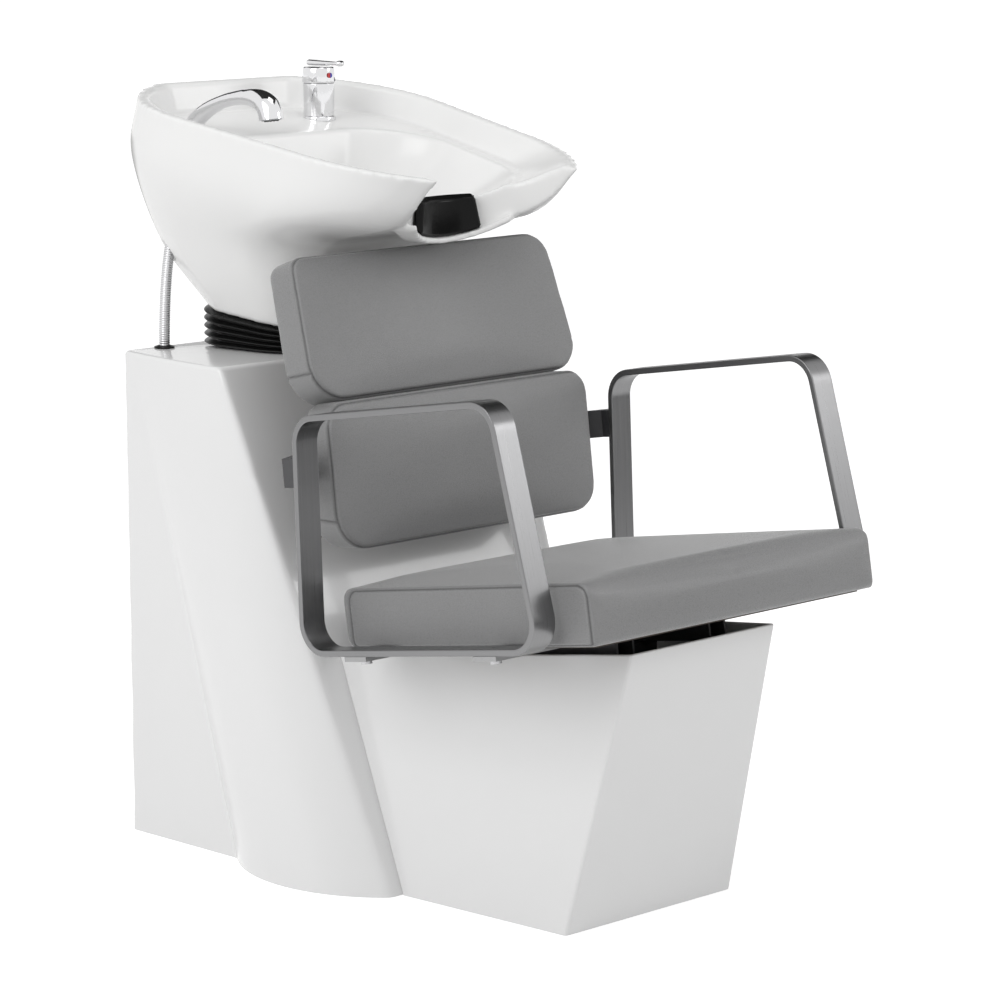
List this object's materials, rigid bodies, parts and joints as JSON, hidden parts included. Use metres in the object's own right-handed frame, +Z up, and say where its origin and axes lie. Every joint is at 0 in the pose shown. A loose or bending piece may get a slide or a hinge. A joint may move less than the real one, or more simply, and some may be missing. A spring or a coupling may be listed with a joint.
{
  "type": "backwash unit",
  "caption": "Salon backwash unit: padded chair with steel arm loops on a white shell base, and a tilting ceramic basin with mixer tap and hand shower on a column behind it.",
  "frame": {"origin": "on the floor, midway across, under the middle of the unit", "axes": "+Z up, the seat faces -Y, +X is the client's left"},
  "size_m": [0.58, 0.9748, 1.0165],
  "materials": {
    "brushed_steel": "brushed along the bar",
    "steel_fixings": "zinc plated",
    "dark_steel": "black powder coat",
    "plywood": "raw birch ply",
    "grey_vinyl": "smooth grey upholstery vinyl",
    "white_shell": "gloss white moulded shell",
    "glazed_ceramic": "white glaze",
    "black_rubber": "black rubber",
    "drain_plastic": "grey moulded plastic",
    "chrome": "polished chrome",
    "brass": "plain brass",
    "index_plastic": "red and blue dot",
    "hose_metal": "ribbed bright metal"
  },
  "bodies": {
    "base": {"arm_bolts": "steel_fixings", "arm_loop_left": "brushed_steel", "arm_loop_right": "brushed_steel", "back_cross_bar": "dark_steel", "back_side_brackets": "dark_steel", "back_spines": "dark_steel", "basin_post": "dark_steel", "bellows": "black_rubber", "cold_supply_hose": "black_rubber", "column_shell": "white_shell", "door_hinge_leaves": "steel_fixings", "door_hinge_pins": "steel_fixings", "drain_hose": "drain_plastic", "floor_plate": "dark_steel", "front_base_shell": "white_shell", "hose_grommet": "black_rubber", "hot_supply_hose": "black_rubber", "lower_back_board": "plywood", "lower_back_cushion": "grey_vinyl", "seat_board": "plywood", "seat_cushion": "grey_vinyl", "seat_pedestal": "dark_steel", "seat_rails": "dark_steel", "seat_saddle": "dark_steel", "seat_straps": "dark_steel", "shower_hose": "hose_metal", "stop_valves": "brass", "tilt_axle": "steel_fixings", "tilt_yoke": "dark_steel", "upper_back_board": "plywood", "upper_back_cushion": "grey_vinyl"},
    "basin": {"basin": "glazed_ceramic", "neck_rest": "black_rubber", "waste_fitting": "drain_plastic", "basin_cradle": "dark_steel", "mixer_base_ring": "chrome", "mixer_body": "chrome", "mixer_tail": "brass", "shower_holder": "chrome"},
    "mixer_head": {"mixer_cap": "chrome", "mixer_index_dot": "index_plastic"},
    "mixer_lever": {"mixer_lever": "chrome"},
    "hand_shower": {"hand_shower": "chrome"},
    "strainer": {"drain_strainer": "chrome"},
    "door": {"service_door": "white_shell", "door_knob": "chrome"}
  },
  "joints": [
    {"name": "basin_tilt", "type": "hinge", "parent": "base", "child": "basin", "pos_m": [0, 0.296, 0.672], "axis": [-1, 0, 0], "range_deg": [-3, 12], "deforming": ["bellows", "shower_hose", "hot_supply_hose", "cold_supply_hose", "drain_hose"]},
    {"name": "mixer_turn", "type": "hinge", "parent": "basin", "child": "mixer_head", "pos_m": [0.092, 0.398, 0.99], "axis": [0, 0, 1], "range_deg": [-45, 45]},
    {"name": "mixer_lift", "type": "hinge", "parent": "mixer_head", "child": "mixer_lever", "pos_m": [0.092, 0.416, 1.0076], "axis": [-1, 0, 0], "range_deg": [0, 20]},
    {"name": "shower_lift", "type": "slide", "parent": "basin", "child": "hand_shower", "axis": [0, 0, 1], "range_m": [0, 0.1]},
    {"name": "strainer_lift", "type": "slide", "parent": "basin", "child": "strainer", "axis": [0, 0, 1], "range_m": [0, 0.06]},
    {"name": "door_swing", "type": "hinge", "parent": "base", "child": "door", "pos_m": [0.156, 0.409, 0.3], "axis": [0, 0, -1], "range_deg": [0, 110]}
  ]
}
